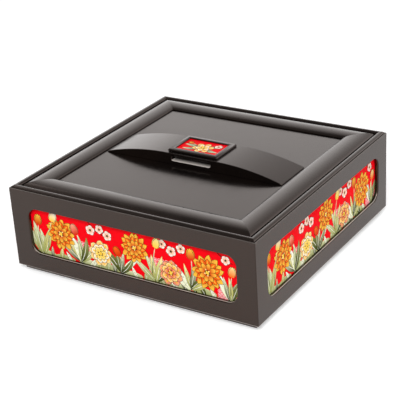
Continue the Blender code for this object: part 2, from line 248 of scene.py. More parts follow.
coat_group = bpy.data.node_groups.new("rubbed_coat", "ShaderNodeTree")
for label, way, kind in (
    ("Satin", "INPUT", "Float"), ("Cloud", "INPUT", "Float"),
    ("Tone", "OUTPUT", "Float"), ("Roughness", "OUTPUT", "Float"), ("Normal", "OUTPUT", "Vector"),
):
    coat_group.interface.new_socket(label, in_out=way, socket_type=f"NodeSocket{kind}")
coat_in = add_node(coat_group, "NodeGroupInput").outputs
spot = piece_place(coat_group)
clouds = noise(coat_group, spot, cloud_scale, detail=4.0)
smears = map_range(coat_group, noise(coat_group, spot, smear_scale, detail=2.0), 0.35, 0.75)
patchy = math_node(coat_group, "MULTIPLY", smears, coat_in["Cloud"])
peel = noise(coat_group, spot, 1 / peel_size, detail=1.0)
nib_cells = {"Scale": 1 / nib_spacing, "Vector": spot}
nibs = add_node(coat_group, "ShaderNodeTexVoronoi", nib_cells, feature="F1").outputs["Distance"]
nib_height = map_range(coat_group, nibs, 0.0, nib_reach, 1.0, 0.0)
smooth_normal = bump(coat_group, peel, peel_depth)
add_node(coat_group, "NodeGroupOutput", {
    "Tone": map_range(coat_group, clouds, 0.35, 0.7),
    "Roughness": math_node(coat_group, "ADD", coat_in["Satin"], patchy),
    "Normal": bump(coat_group, nib_height, nib_depth, nib_strength, Normal=smooth_normal),
})


def lacquer_skin(name, satin, cloud):
    """One lacquered finish: the shared coat at its own gloss.

    A mesh's point value "dull" takes its gloss off, and another point value paints a pale highlight into
    its colour along lit lips and edges."""
    made, tree = new_skin(name)
    inputs = {"Satin": satin, "Cloud": cloud}
    coat = add_node(tree, "ShaderNodeGroup", inputs, node_tree=coat_group).outputs
    # The point value read next paints a pale highlight into the colour, mixed towards pale grey.
    painted_highlight = add_node(tree, "ShaderNodeAttribute", attribute_name="painted_highlight").outputs["Fac"]
    dull = add_node(tree, "ShaderNodeAttribute", attribute_name="dull").outputs["Fac"]
    tone = mix_colour(tree, coat["Tone"], lacquer_black, lacquer_brown)
    gloss_loss = math_node(tree, "MULTIPLY", dull, dull_roughness)
    finish_surface(tree, {
        "Base Color": mix_colour(tree, painted_highlight, tone, painted_highlight_grey),
        "Roughness": math_node(tree, "ADD", coat["Roughness"], gloss_loss),
        "IOR": lacquer_ior,
        "Specular Tint": lacquer_glint,
        "Normal": coat["Normal"],
    })
    return made


outer_lacquer = lacquer_skin("outer_lacquer", satin=0.19, cloud=0.03)
inner_lacquer = lacquer_skin("inner_lacquer", satin=0.34, cloud=0.12)


# Felt pads
# Four round pads of dense black felt are glued under the plinth's corners, so that the box
# doesn't scratch the table. Their cut edge is slightly furry.
pad_sides = 48
pad_edge = 0.25 * mm
pad_fibre = 0.35 * mm
pad_black = (0.012, 0.012, 0.013)
pad_grey = (0.045, 0.043, 0.042)
patch_scale = 45.0
patch_share = 0.35
sharp_angle = math.radians(40)


def felt_skin(name, dark, light, fibre):
    """Pressed wool: matted fibres in two tones, with no gloss."""
    made, tree = new_skin(name)
    spot = piece_place(tree)
    matted = noise(tree, spot, 1 / fibre, detail=5.0, roughness=0.7)
    patches = math_node(tree, "MULTIPLY", noise(tree, spot, patch_scale, detail=2.0), patch_share)
    lit = mix_colour(tree, map_range(tree, matted, 0.3, 0.72), dark, light)
    finish_surface(tree, {
        "Base Color": mix_colour(tree, patches, lit, dark),
        "Roughness": 0.95,
        "Specular IOR Level": 0.15,
        "Sheen Weight": 0.35,
        "Sheen Roughness": 0.5,
        "Normal": bump(tree, matted, fibre * 0.5),
    })
    return made


def take_mesh(name, bm):
    """Turn a bmesh into a mesh whose faces look outward."""
    bmesh.ops.recalc_face_normals(bm, faces=bm.faces)
    mesh = bpy.data.meshes.new(name)
    bm.to_mesh(mesh)
    bm.free()
    return mesh


def finish_mesh(name, mesh, skin, body, slot, node, crease=35):
    """Make a mesh one dressed piece that rides on a body and stands for a CAD node."""
    mesh.shade_smooth()
    mesh.set_sharp_from_angle(angle=math.radians(crease))
    mesh.materials.clear()
    mesh.materials.append(skin)
    piece = add_object(name, mesh)
    weigh = piece.modifiers.new("even shading", "WEIGHTED_NORMAL")
    weigh.keep_sharp = True
    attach(piece, body)
    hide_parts(node)


def finish_piece(name, bm, *rest):
    """Make a bmesh one dressed piece."""
    finish_mesh(name, take_mesh(name, bm), *rest)


def round_edges(bm, edges, width, segments=3):
    bmesh.ops.bevel(bm, geom=edges, offset=width, offset_type="OFFSET", segments=segments,
                    profile=0.5, affect="EDGES", material=-1, clamp_overlap=True)


def sharp_edges(bm):
    return [e for e in bm.edges if len(e.link_faces) == 2 and e.calc_face_angle(0) > sharp_angle]


pad_felt = felt_skin("pad_felt", pad_black, pad_grey, pad_fibre)
for row in ("front", "back"):
    for side in ("left", "right"):
        node = f"foot_pad_{row}_{side}"
        low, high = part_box(node)
        radius = (high.x - low.x) / 2
        bm = bmesh.new()
        bmesh.ops.create_cone(bm, cap_ends=True, segments=pad_sides, radius1=radius, radius2=radius,
                              depth=high.z - low.z, matrix=Matrix.Translation((low + high) / 2))
        round_edges(bm, sharp_edges(bm), pad_edge)
        finish_piece(f"felt_{node}", bm, pad_felt, "box", "pad_felt", node)


# Plinth
# Four lacquered strips, mitred and glued under the base, are set back from the sides, so the
# box seems to float just above the table.
plinth_edge = 0.5 * mm
mitre_edge = 0.1 * mm
hairline = 0.03 * mm
saw_reach = 0.0001 * mm
quarter_turns = {"front": 0, "right": 1, "back": 2, "left": 3}


def carry_on(bm, pen, *moves):
    """Draw an outline on from a point: each move carries the pen on. Return the new points."""
    drawn = []
    for move in moves:
        pen = bmesh.ops.extrude_vert_indiv(bm, verts=[pen])["verts"][0]
        bmesh.ops.translate(bm, verts=[pen], vec=(0, *move))
        drawn.append(pen)
    return drawn


def trace(bm, start, *moves):
    """Draw an outline from a new point, and return all its points."""
    pen = bm.verts.new(start)
    return [pen] + carry_on(bm, pen, *moves)


def thicken(bm, faces, move):
    """Extrude faces along a move."""
    grown = bmesh.ops.extrude_face_region(bm, geom=faces)["geom"]
    bmesh.ops.translate(bm, verts=[g for g in grown if isinstance(g, bmesh.types.BMVert)], vec=move)


def run_along(bm, outline, length):
    """Close an outline and extrude it along X into a bar."""
    bm.edges.new((outline[-1], outline[0]))
    thicken(bm, bmesh.ops.contextual_create(bm, geom=bm.edges[:])["faces"], (length, 0, 0))


def x_run(edge):
    return abs(edge.verts[0].co.x - edge.verts[1].co.x)


def edges_where(edges, test):
    """Those of the edges whose two ends both pass a test of their place."""
    return [e for e in edges if all(test(v.co) for v in e.verts)]


def saw(bm, place, outward, clear_outer=True):
    """Cut everything at a plane and return the edges of the cut."""
    cut = bmesh.ops.bisect_plane(bm, geom=bm.verts[:] + bm.edges[:] + bm.faces[:], dist=saw_reach,
                                 plane_co=place, plane_no=outward, clear_outer=clear_outer)["geom_cut"]
    return [g for g in cut if isinstance(g, bmesh.types.BMEdge)]


def mitre(bm):
    """Saw both ends of a front bar at 45 degrees, and take the arris off the cuts."""
    for sign in (1, -1):
        rim = saw(bm, (-sign * hairline, 0, 0), (sign, 1, 0))
        bmesh.ops.contextual_create(bm, geom=rim)
        round_edges(bm, rim, mitre_edge, 2)


def square_strip(node, soft, lowest_share=0.0):
    """A mitred strip as large as its CAD node, its long edges rounded above a share of its height."""
    low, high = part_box(node)
    wide = high.y - low.y
    tall = high.z - low.z
    bm = bmesh.new()
    run_along(bm, trace(bm, low, (0, tall), (wide, 0), (0, -tall)), high.x - low.x)
    rounded = edges_where(sharp_edges(bm), lambda co: co.z > low.z + lowest_share * tall - hairline)
    round_edges(bm, [e for e in rounded if x_run(e) > wide], soft)
    mitre(bm)
    return bm


def four_sides(name, bm, skin, body, slot, node, sides=tuple(quarter_turns)):
    """Dress the front piece, and the same piece turned to the other sides."""
    front = take_mesh(name, bm)
    for side in sides:
        mesh = front.copy()
        mesh.name = f"{name}_{side}"
        mesh.transform(Matrix.Rotation(quarter_turns[side] * math.pi / 2, 4, "Z"))
        finish_mesh(mesh.name, mesh, skin, body, slot, f"{node}_{side}")
    bpy.data.meshes.remove(front)


bm = square_strip("plinth_front", plinth_edge)
four_sides("plinth_strip", bm, outer_lacquer, "box", "black_lacquer", "plinth")


# Side boards
# Each side is one board, mitred into its neighbours, with a long round-ended window cut through
# it. The window's mouth and all outer edges are rounded by hand before the lacquer goes on. A pale
# highlight is painted into the colour of the window's lower lip and of the boards' foot and top arrises.
# A step behind the top lip takes the rim strip.
window_end_margin = 21 * mm
window_foot_margin = 18 * mm
window_height = 48.8 * mm
window_corner = 11 * mm
window_mouth = 1.3 * mm
reveal_depth = 4 * mm
picture_lap = 6 * mm
corner_round = 0.9 * mm
board_edge_round = 0.6 * mm
rim_lip = 1.5 * mm
rim_step = 7.8 * mm
tight_corner = 0.15 * mm
mouth_steps = 6
# These set where a pale highlight is painted into the colour: the window's lower lip, fading up its round
# ends, and the foot and top arrises.
highlight_depths = (0.7 * mm, 1.5 * mm)
full_highlight = 1.1
highlight_fade = 1.6
lip_shadow_depth = 1.7 * mm
foot_highlight_share = 0.75
foot_highlight_height = 0.9 * mm
lip_highlight_share = 0.2
lip_highlight_height = 0.8 * mm
highlight_slack = 0.1
weld_reach = 0.001 * mm
corner_steps = 8
edge_depth_shares = (0, 0.03, 0.1, 0.2, 0.293, 0.45, 0.67)

side_low, side_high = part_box("side_front")
picture_low, picture_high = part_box("picture_front")
half_box = -side_low.y
board_thickness = side_high.y - side_low.y
window_half = half_box - window_end_margin
window_foot = side_low.z + window_foot_margin
window_top = window_foot + window_height


def corner_centre(shape, right, upper):
    """The middle of one rounded corner of a shape: half width, foot, top, corner radius, depth."""
    half, foot, top, corner, _ = shape
    return Vector((half - corner if right else corner - half, 0, top - corner if upper else foot + corner))


def pull_edges(bm, edges):
    """Extrude edges on the spot, and return the new points and the new edges between them."""
    grown = bmesh.ops.extrude_edge_only(bm, edges=edges)["geom"]
    moved = [g for g in grown if isinstance(g, bmesh.types.BMVert)]
    return moved, [g for g in grown if isinstance(g, bmesh.types.BMEdge)
                   and g.verts[0] in moved and g.verts[1] in moved]


def weld(bm, verts):
    bmesh.ops.remove_doubles(bm, verts=verts, dist=weld_reach)


def drag_rings(bm, shapes, place):
    """Drag a rounded rectangle of edges from shape to shape, and join its two ends or close both.

    A shape is its half width, foot, top, corner radius and depth."""
    half, foot, top, corner, depth = shapes[0]
    upright = Matrix.Translation((0, depth, (foot + top) / 2)) @ Matrix.Rotation(math.pi / 2, 4, "X")
    corners = bmesh.ops.create_grid(bm, x_segments=1, y_segments=1, size=1, matrix=upright
                                    @ Matrix.Diagonal((half, (top - foot) / 2, 1, 1)))["verts"]
    bmesh.ops.bevel(bm, geom=corners, offset=corner, offset_type="OFFSET", segments=corner_steps,
                    profile=0.5, affect="VERTICES", material=-1, clamp_overlap=True)
    edges = bm.edges[:]
    joined = shapes[-1] == shapes[0]
    if joined:
        bmesh.ops.delete(bm, geom=bm.faces[:], context="FACES_ONLY")
    for old, new in zip(shapes, shapes[1:]):
        moved, edges = pull_edges(bm, edges)
        middle = (old[1] + old[2]) / 2
        for vert in moved:
            right, upper = vert.co.x > 0, vert.co.z > middle
            arm = vert.co - corner_centre(old, right, upper)
            spot = corner_centre(new, right, upper) + arm * (new[3] / old[3])
            vert.co = (spot.x, new[4], spot.z)
    if joined:
        weld(bm, bm.verts[:])
    else:
        bmesh.ops.contextual_create(bm, geom=edges)
    bmesh.ops.transform(bm, matrix=place, verts=bm.verts[:])


def window_shape(grow, depth):
    return (window_half + grow, window_foot - grow, window_top + grow, window_corner + grow, depth)


def board_shape(depth, top):
    """The board's outline at a depth: soft at the box's corners and edges, then mitred."""
    turn_in = corner_round * (1 - math.cos(math.pi / 4))
    half = half_box - depth
    if depth < turn_in:
        half = half_box - corner_round + math.sqrt(corner_round ** 2 - (corner_round - depth) ** 2)
    drop = 0
    if depth < board_edge_round:
        drop = board_edge_round - math.sqrt(board_edge_round ** 2 - (board_edge_round - depth) ** 2)
    return (half - hairline, side_low.z + drop, top - drop, tight_corner, depth)


def rolled_edge(radius, steps):
    """How much wider a rounded mouth is, and at what depth, from its face inward."""
    angles = [0.5 * math.pi * step / steps for step in range(steps + 1)]
    return [(radius * (1 - math.sin(angle)), radius * (1 - math.cos(angle))) for angle in angles]


bm = bmesh.new()
shapes = [
    window_shape(picture_lap, board_thickness),
    window_shape(picture_lap, reveal_depth),
    window_shape(0, reveal_depth),
    window_shape(0, lip_shadow_depth),
]
shapes += [window_shape(*opening) for opening in reversed(rolled_edge(window_mouth, mouth_steps))]
shapes += [board_shape(share * corner_round, side_high.z) for share in edge_depth_shares]
shapes.append(board_shape(rim_lip, side_high.z))
shapes.append(board_shape(rim_lip, side_high.z - rim_step))
shapes.append(board_shape(board_thickness, side_high.z - rim_step))
drag_rings(bm, shapes + shapes[:1], Matrix.Translation((0, -half_box, 0)))
for level in (side_low.z + foot_highlight_height, side_high.z - lip_highlight_height):
    saw(bm, (0, 0, level), (0, 0, 1), clear_outer=False)
# Point values that paint a pale highlight into the colour of the window's lower lip and the arrises.
painted_highlight = bm.verts.layers.float.new("painted_highlight")
dull = bm.verts.layers.float.new("dull")
foot_edge = side_low.z + (1 + highlight_slack) * board_edge_round
lip_edge = side_high.z - (1 - highlight_slack) * board_edge_round
for vert in bm.verts:
    depth = vert.co.y + half_box
    height = vert.co.z
    in_window = abs(vert.co.x) < window_half + window_mouth
    in_mouth = in_window and window_foot - window_mouth < height < window_top
    if in_mouth and highlight_depths[0] < depth < highlight_depths[1]:
        vert[painted_highlight] = min(1, max(0, full_highlight - highlight_fade * (height - window_foot) / window_corner))
    elif depth < board_edge_round and height < foot_edge:
        vert[painted_highlight] = foot_highlight_share
    elif highlight_slack * board_edge_round < depth < board_edge_round and height > lip_edge:
        vert[painted_highlight] = lip_highlight_share
    if abs(depth - rim_lip) < hairline:
        vert[dull] = 1
four_sides("side_board", bm, outer_lacquer, "box", "black_lacquer", "side")


# Side pictures
# A flower print on a red ground lies behind each window, under a dull varnish. Garden flowers,
# leaves and twigs of blossom are laid on in thick inks that stand a little above the ground.
ink_thickness = 0.25 * mm
print_edge = 0.3 * mm
print_half_height = 27.4 * mm
bed_foot = -27 * mm
ink_step = 0.001 * mm
outline_reach = 0.4 * mm
print_side_margin = 3 * mm
straight_turn = 0.01
colour_lag = 1.4
petal_steps = 8
stamen_count = 9
mound_count = 9
bed_leaf_count = 22
leaf_rise = 4.5
ripple_size = 2.1 * mm
ripple_gap_share = 0.15
streak_scale = 320.0
pool_scale = 60.0
streak_depth = 0.01 * mm


def pigment(red, green, blue):
    """A colour as it is seen, 0 to 255, as the share of light that it reflects."""
    return tuple(((v / 255 + 0.055) / 1.055) ** 2.4 if v > 10 else v / 3294.6 for v in (red, green, blue))


ground_red = (0.93, 0.0, 0.006)
deep_orange = pigment(214, 44, 8)
warm_orange = pigment(250, 116, 24)
gold = pigment(255, 206, 70)
cream = pigment(255, 238, 160)
chalk_white = pigment(254, 253, 244)
peach = pigment(252, 172, 136)
rose_pink = pigment(252, 192, 194)
bark_brown = pigment(48, 24, 14)
outline_brown = pigment(56, 13, 6)
pale_green = pigment(236, 238, 196)
sage_green = pigment(160, 166, 92)
olive_green = pigment(52, 60, 18)
luck = random.Random(41)


def blend_colour(first, second, share):
    return tuple(a + (b - a) * share for a, b in zip(first, second))


def around(place, angle, reach):
    return (place[0] + reach * math.cos(angle), place[1] + reach * math.sin(angle))


def fresh_ink():
    bm = bmesh.new()
    bm.verts.layers.float_color.new("paint")
    return bm


def lay_on(whole, motif):
    """Add a drawn motif to the whole print."""
    mesh = bpy.data.meshes.new("motif")
    motif.to_mesh(mesh)
    motif.free()
    whole.from_mesh(mesh)
    bpy.data.meshes.remove(mesh)


def stroke(bm, start, heading, length, width, inks, lift, turn=0.0, belly=1.0, blunt=1.0,
           steps=6, across=2):
    """One brush stroke along an arc, swelling between its two ends.

    The root's and the tip's inks run into each other along it."""
    paint = bm.verts.layers.float_color["paint"]
    verts = bmesh.ops.create_grid(bm, x_segments=steps, y_segments=across, size=1)["verts"]
    for vert in verts:
        along = (vert.co.x + 1) / 2
        angle = heading + turn * along
        if abs(turn) > straight_turn:
            spine = Vector((math.sin(angle) - math.sin(heading), math.cos(heading) - math.cos(angle), 0))
            spine *= length / turn
        else:
            spine = Vector((math.cos(heading), math.sin(heading), 0)) * length * along
        swell = max(0.0, math.sin(math.pi * along ** belly)) ** blunt * width / 2 * vert.co.y
        vert.co = Vector((*start, lift)) + spine + Vector((-math.sin(angle), math.cos(angle), 0)) * swell
        vert[paint] = (*blend_colour(*inks, along ** colour_lag), 1)
    weld(bm, verts)


def inked(bm, start, heading, length, width, inks, lift, outline, ink=outline_brown, rise=ink_step,
          steps=6, **form):
    """A stroke on a larger one in a dark ink, whose rim shows as its outline."""
    longer, wider = outline
    stroke(bm, start, heading, length + longer, width + wider, (ink, ink), lift, **form)
    stroke(bm, start, heading, length, width, inks, lift + rise, steps=steps, **form)


def dot(bm, place, radius, colour, lift, sides=12):
    paint = bm.verts.layers.float_color["paint"]
    made = bmesh.ops.create_circle(bm, cap_ends=True, segments=sides, radius=radius,
                                   matrix=Matrix.Translation((*place, lift)))["verts"]
    for vert in made:
        vert[paint] = (*colour, 1)


def flower(whole, place, radius, rings, petal_width, belly, blunt, heart, start, lift=0.10 * mm):
    """Rings of outlined petals, each ring above the last and shorter, round a heart with stamens."""
    bm = fresh_ink()
    for number, (count, reach, root, tip) in enumerate(rings):
        for index in range(count):
            angle = start + 2 * math.pi * (index + 0.5 * number) / count + luck.uniform(-0.06, 0.06)
            length = radius * reach * luck.uniform(0.92, 1.05)
            wide = radius * petal_width * reach ** 0.5
            turn = luck.uniform(-0.3, 0.3)
            base = around(place, angle, radius * 0.08)
            inked(bm, base, angle, length, wide, (root, tip), lift, (outline_reach, 0.8 * mm),
                  turn=turn, belly=belly, blunt=blunt, steps=petal_steps)
            stroke(bm, base, angle, length * 0.9, wide * 0.28, (root, gold), lift + 2 * ink_step,
                   turn=turn, belly=belly, blunt=0.8, across=1)
            lift += 3 * ink_step
    dot(bm, place, radius * heart, outline_brown, lift)
    dot(bm, place, radius * heart * 0.8, gold, lift + 2 * ink_step)
    for index in range(stamen_count):
        angle = 2 * math.pi * index / stamen_count + luck.uniform(-0.2, 0.2)
        spot = around(place, angle, radius * heart * luck.uniform(0.7, 1.25))
        dot(bm, spot, radius * 0.045, cream if index % 2 else bark_brown, lift + 4 * ink_step, 8)
    lay_on(whole, bm)


def leaf(bm, base, heading, length, width, inks, lift, turn):
    """A pointed leaf with a thin dark outline, a pale midrib and a few side veins."""
    inked(bm, base, heading, length, width, inks, lift, (outline_reach, 0.5 * mm), olive_green,
          turn=turn, belly=0.8, blunt=0.9, steps=10)
    stroke(bm, base, heading, length * 0.9, width * 0.08, (chalk_white, pale_green), lift + 3 * ink_step,
           turn=turn, belly=0.9, blunt=0.4, across=1)
    spot = base
    for index in range(3):
        angle = heading + turn * (0.2 + 0.2 * index)
        spot = around(spot, angle, length * 0.22)
        for side in (1, -1):
            stroke(bm, spot, angle + side * 0.5, width * 0.5, 0.3 * mm, (olive_green, sage_green),
                   lift + 2 * ink_step, turn=-side * 0.3, blunt=0.5, steps=3, across=1)


def small_blossom(bm, place, radius, angle, lift=0.11 * mm):
    """Five round white petals with a rosy root and a brown heart."""
    for index in range(5):
        inked(bm, place, angle + 2 * math.pi * index / 5, radius, radius * 0.88, (peach, chalk_white),
              lift, (0.3 * mm, 0.6 * mm), rise=2 * ink_step, belly=1.9, blunt=0.55)
    dot(bm, place, radius * 0.24, bark_brown, lift + 4 * ink_step, 10)
    for index in range(5):
        stroke(bm, place, angle + 0.63 + 2 * math.pi * index / 5, radius * 0.6, 0.4 * mm,
               (bark_brown, gold), lift + 6 * ink_step, blunt=0.4, steps=3, across=1)


def tulip(bm, foot, heading, length, bend, size, root, tip, lift=0.12 * mm):
    """A cup of three petals on its stem."""
    stroke(bm, foot, heading, length, 1.1 * mm, (olive_green, pale_green), lift,
           turn=bend, blunt=0.25, steps=10, across=1)
    end = foot
    for index in range(8):
        end = around(end, heading + bend * (index + 0.5) / 8, length / 8)
    for lean, wide, height in ((0.42, 0.5, 0), (-0.42, 0.5, 2), (0.0, 0.62, 5)):
        inked(bm, end, heading + bend + lean, size, size * wide, (root, tip), lift + height * ink_step,
              (outline_reach, 0.7 * mm), turn=-lean * 1.3, belly=0.75, blunt=0.7, steps=petal_steps)


def ripple_patch(bm, left, foot, columns, rows, size, lift=0.004 * mm):
    """Overlapping ripples in pink on the red, thinning out at random."""
    for row in range(rows - 1, -1, -1):
        for column in range(columns):
            if luck.random() < ripple_gap_share:
                continue
            place = (left + (column + 0.5 * (row % 2)) * size * 2, foot + row * size * 0.9)
            height = lift + (rows - row) * 3 * ink_step
            for share, colour in ((1.0, rose_pink), (0.76, ground_red), (0.46, rose_pink)):
                dot(bm, place, size * share, colour, height, 10)
                height += 0.8 * ink_step


def block(bm, low, high):
    """Add a block between two corners and return its points."""
    middle = Matrix.Translation((low + high) / 2)
    return bmesh.ops.create_cube(bm, size=1, matrix=middle @ Matrix.Diagonal((*(high - low), 1)))["verts"]


def printed_panel(whole, low, high, place):
    """Give the laid-on inks their thickness, put them in place and add the red board under them."""
    thicken(whole, whole.faces[:], (0, 0, -ink_thickness))
    bmesh.ops.transform(whole, verts=whole.verts[:], matrix=place)
    slab = block(whole, low, high)
    paint = whole.verts.layers.float_color["paint"]
    for vert in slab:
        vert[paint] = (*ground_red, 1)
    round_edges(whole, list({e for v in slab for e in v.link_edges}), print_edge, 2)


print_art = fresh_ink()

bm = fresh_ink()
for left, foot, columns, rows in ((-70, -14, 5, 7), (22, -14, 5, 8), (98, -25, 5, 6)):
    ripple_patch(bm, left * mm, foot * mm, columns, rows, ripple_size)
lay_on(print_art, bm)

leaf_inks = (
    (sage_green, pale_green), (olive_green, sage_green), (pale_green, chalk_white),
    (olive_green, pale_green), (sage_green, cream),
)
bm = fresh_ink()
for index in range(mound_count):
    centre = (-108 + 27 * index + luck.uniform(-4, 4)) * mm
    size = luck.uniform(6, 11) * mm
    inks = (sage_green, blend_colour(pale_green, sage_green, luck.random() * 0.6))
    stroke(bm, (centre, bed_foot - 2 * mm), math.pi / 2, size, 25 * mm, inks, (18 + index % 2) * ink_step,
           belly=1.2, blunt=0.6, steps=8, across=4)
for index in range(bed_leaf_count):
    base = ((-118 + 11.2 * index + luck.uniform(-2, 2)) * mm, bed_foot)
    size = luck.uniform(11, 18) * mm
    leaf(bm, base, math.pi / 2 + luck.uniform(-0.85, 0.85), size, size * luck.uniform(0.28, 0.36),
         luck.choice(leaf_inks), (22 + leaf_rise * (index % 5)) * ink_step, luck.uniform(-0.6, 0.6))
lay_on(print_art, bm)
bm = fresh_ink()
order = 0
for fan_u, fan_v, count, reach, spread in (
    (-108, -25, 6, 36, 0.55), (-60, -24, 6, 31, 0.9), (-12, -25, 6, 30, 0.9), (28, -25, 6, 32, 0.75),
    (66, -24, 6, 29, 0.95), (108, -26, 5, 33, 0.5),
):
    for index in range(count):
        heading = math.pi / 2 + spread * (1 - 2 * index / (count - 1)) + luck.uniform(-0.1, 0.1)
        size = reach * luck.uniform(0.75, 1.05) * mm
        base = ((fan_u + luck.uniform(-2, 2)) * mm, fan_v * mm)
        leaf(bm, base, heading, size, size * luck.uniform(0.17, 0.24), luck.choice(leaf_inks),
             (46 + leaf_rise * (order % 11)) * ink_step, luck.uniform(-0.7, 0.7))
        order += 1
lay_on(print_art, bm)

bm = fresh_ink()
for u, v, heading, length, turn in (
    (-50, 26, -1.1, 26, 0.9), (-42, 15, -0.2, 19, 0.5), (34, 26, -0.9, 28, 0.8), (45, 16, -0.1, 20, 0.4),
    (94, 26, -0.9, 24, 0.7),
):
    stroke(bm, (u * mm, v * mm), heading, length * mm, 0.9 * mm, (bark_brown, bark_brown), 0.10 * mm,
           turn=turn, blunt=0.25, steps=10, across=1)
for u, v, radius, angle in (
    (-46, 14, 5.4, 0.2), (-35, 17, 4.8, 1.0), (-26, 12, 5.2, 0.5), (37, 17.5, 4.8, 0.1), (47, 12, 5.5, 0.8),
    (58, 17, 5.0, 0.4), (106, 16, 4.8, 0.9),
):
    small_blossom(bm, (u * mm, v * mm), radius * mm, angle)
for u, v, heading, length, bend, size, root, tip in (
    (-110, -16, 1.75, 22, -0.25, 12, deep_orange, gold), (-101, -20, 1.5, 34, -0.3, 12, gold, chalk_white),
    (-58, -14, 1.7, 20, 0.3, 12, deep_orange, peach), (-8, -20, 1.8, 14, 0.3, 11, deep_orange, warm_orange),
    (24, -18, 1.5, 30, -0.2, 11, gold, cream), (67, -12, 1.3, 20, 0.35, 12, deep_orange, gold),
    (110, -20, 1.6, 20, -0.2, 11, warm_orange, cream),
):
    tulip(bm, (u * mm, v * mm), heading, length * mm, bend, size * mm, root, tip)
lay_on(print_art, bm)

dahlia_rings = (
    (13, 1.0, deep_orange, gold), (11, 0.76, deep_orange, warm_orange), (8, 0.5, deep_orange, gold),
)
cream_rings = ((9, 1.0, warm_orange, cream), (8, 0.74, gold, chalk_white), (6, 0.46, gold, cream))
peach_rings = ((8, 1.0, deep_orange, peach), (7, 0.74, warm_orange, cream), (5, 0.45, deep_orange, peach))
dahlia = (dahlia_rings, 0.42, 1.3, 0.8, 0.16)
cream_bloom = (cream_rings, 0.62, 1.5, 0.6, 0.2)
peach_bloom = (peach_rings, 0.68, 1.5, 0.6, 0.2)
for u, v, radius, kind, start in (
    (-83, 2, 16.5, dahlia, 0.0), (5, 6, 15, dahlia, 0.3), (86, -1, 17, dahlia, 0.6),
    (-36, -9, 13, cream_bloom, 0.2), (45, -11, 12.5, peach_bloom, 0.5),
):
    flower(print_art, (u * mm, v * mm), radius * mm, *kind, start)

for normal, reach in (((1, 0, 0), window_half + print_side_margin), ((0, 1, 0), print_half_height)):
    for sign in (1, -1):
        outward = Vector(normal) * sign
        saw(print_art, outward * reach, outward)

picture_print, tree = new_skin("picture_print")
inks = add_node(tree, "ShaderNodeAttribute", attribute_name="paint").outputs["Color"]
spot = piece_place(tree)
brushed = noise(tree, spot, streak_scale, detail=4.0, roughness=0.6)
pooled = noise(tree, spot, pool_scale, detail=2.0)
streaks = map_range(tree, brushed, 0.3, 0.7, 0.94, 1.0)
pools = map_range(tree, pooled, 0.35, 0.7, 0.97, 1.0)
shade = math_node(tree, "MULTIPLY", streaks, pools)
finish_surface(tree, {
    "Base Color": mix_colour(tree, 1.0, inks, shade, "MULTIPLY"),
    "Specular IOR Level": 0.06,
    "Roughness": map_range(tree, pooled, 0.3, 0.7, 0.55, 0.66),
    "Normal": bump(tree, brushed, streak_depth),
})

face_place = Matrix.Translation((0, picture_low.y, (picture_low.z + picture_high.z) / 2))
printed_panel(print_art, picture_low, picture_high, face_place @ Matrix.Rotation(math.pi / 2, 4, "X"))
four_sides("flower_print", print_art, picture_print, "box", "red_picture", "picture")


# Rim strips
# A low rounded bead stands just proud of the sides' tops all round. It is worked on the edge of
# a narrow strip, with a quirk left inside it as a dark line round the lid. The strip is glued into
# the step behind the boards' lip and mitred at the corners.
bead_steps = 20
bead_rise = 2.1 * mm
quirk_wide = 0.9 * mm
quirk_drop = 2.0 * mm

low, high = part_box("rim_front")
bead_radius = (high.y - low.y - quirk_wide) / 2
bead_middle = Vector((low.x, low.y + bead_radius, high.z - bead_rise))


def swung(bm, vert, middle, angle, steps, axis=(1, 0, 0)):
    """Swing a point about a line and return the arc's points in order."""
    bmesh.ops.spin(bm, geom=[vert], cent=middle, axis=axis, dvec=(0, 0, 0), angle=angle,
                   steps=steps, use_duplicate=False)
    points = [vert]
    while True:
        onward = [e.other_vert(points[-1]) for e in points[-1].link_edges]
        onward = [v for v in onward if v not in points]
        if not onward:
            return points
        points.append(onward[0])


bm = bmesh.new()
start = bm.verts.new(bead_middle + Vector((0, bead_radius, 0)))
arc = swung(bm, start, bead_middle, math.pi, bead_steps)
bmesh.ops.scale(bm, verts=arc, vec=(1, 1, bead_rise / bead_radius), space=Matrix.Translation(-bead_middle))
leg = bead_middle.z - low.z
legs = carry_on(bm, arc[-1], (0, -leg), (high.y - low.y, 0), (0, leg - quirk_drop), (-quirk_wide, 0))
run_along(bm, arc + legs, high.x - low.x)
mitre(bm)
four_sides("rim_bead", bm, outer_lacquer, "box", "black_lacquer", "rim")


# Backing boards
# Pressed board the colour of straw closes each window from behind and keeps the picture flat.
# Loose fibres and darker flecks show in it.
backing_straw = (0.30, 0.20, 0.11)
backing_fleck = (0.17, 0.10, 0.05)
fibre_scale = 900.0
fibre_depth = 0.05 * mm
fleck_range = (0.52, 0.66)

backing_board, tree = new_skin("backing_board")
fibres = noise(tree, piece_place(tree), fibre_scale, detail=5.0, roughness=0.7)
finish_surface(tree, {
    "Base Color": mix_colour(tree, map_range(tree, fibres, *fleck_range), backing_straw, backing_fleck),
    "Roughness": 0.85,
    "Normal": bump(tree, fibres, fibre_depth),
})


def redress(node, skin):
    """Give a CAD node that keeps its own shape its finish."""
    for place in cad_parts[node].material_slots:
        place.material = skin


for side in quarter_turns:
    redress(f"backing_{side}", backing_board)


# Base board and its lining
# The base is a thin board, lacquered like the rest of the inside and fitted between the sides at
# their feet. A sheet of red felt is glued on it to spare what is kept in the box.
base_edge = 0.5 * mm
felt_edge = 0.35 * mm
felt_fibre = 0.45 * mm
felt_shade = (0.16, 0.006, 0.010)
felt_glow = (0.42, 0.022, 0.030)


def board(name, node, skin, body, slot, soft):
    """A flat board with softened edges, as large as its CAD node."""
    bm = bmesh.new()
    block(bm, *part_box(node))
    round_edges(bm, bm.edges[:], soft)
    finish_piece(name, bm, skin, body, slot, node)


